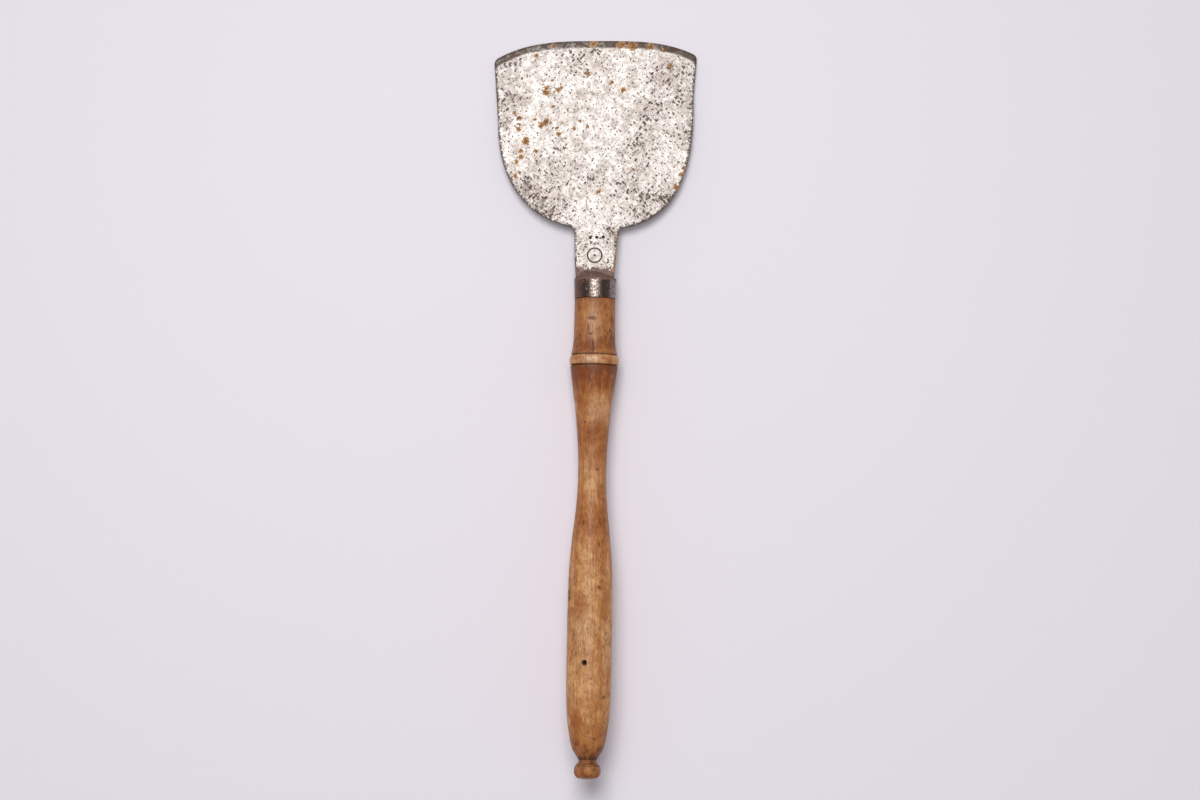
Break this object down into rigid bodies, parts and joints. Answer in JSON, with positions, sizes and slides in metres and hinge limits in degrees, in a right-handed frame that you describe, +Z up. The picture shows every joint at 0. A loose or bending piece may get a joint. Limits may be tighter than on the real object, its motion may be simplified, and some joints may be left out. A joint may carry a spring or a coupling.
{
  "type": "long-handled flat scraper",
  "caption": "Long-handled flat scraper: a broad plate blade with a bowed, bevelled front edge on a short neck, set by its tang in a ferruled, turned wooden handle.",
  "frame": {"origin": "centre of the bounding box on the plane that the tool rests on, touching the front edge of the blade and the rim of the ferrule", "axes": "+Z up; +Y along the tool towards the blade, which dips 4.6 degrees below horizontal; +X to the right when the blade points away"},
  "size_m": [0.1132, 0.4124, 0.0431],
  "materials": {
    "worn_steel": "worn, pitted and rust-spotted",
    "ferrule_iron": "dark brown patina, polished by handling",
    "turned_wood": "worn, hand-polished",
    "cutlers_cement": "matt"
  },
  "bodies": {
    "root": {"blade": "worn_steel", "ferrule": "ferrule_iron", "handle": "turned_wood", "tang_bedding": "cutlers_cement"}
  },
  "joints": []
}
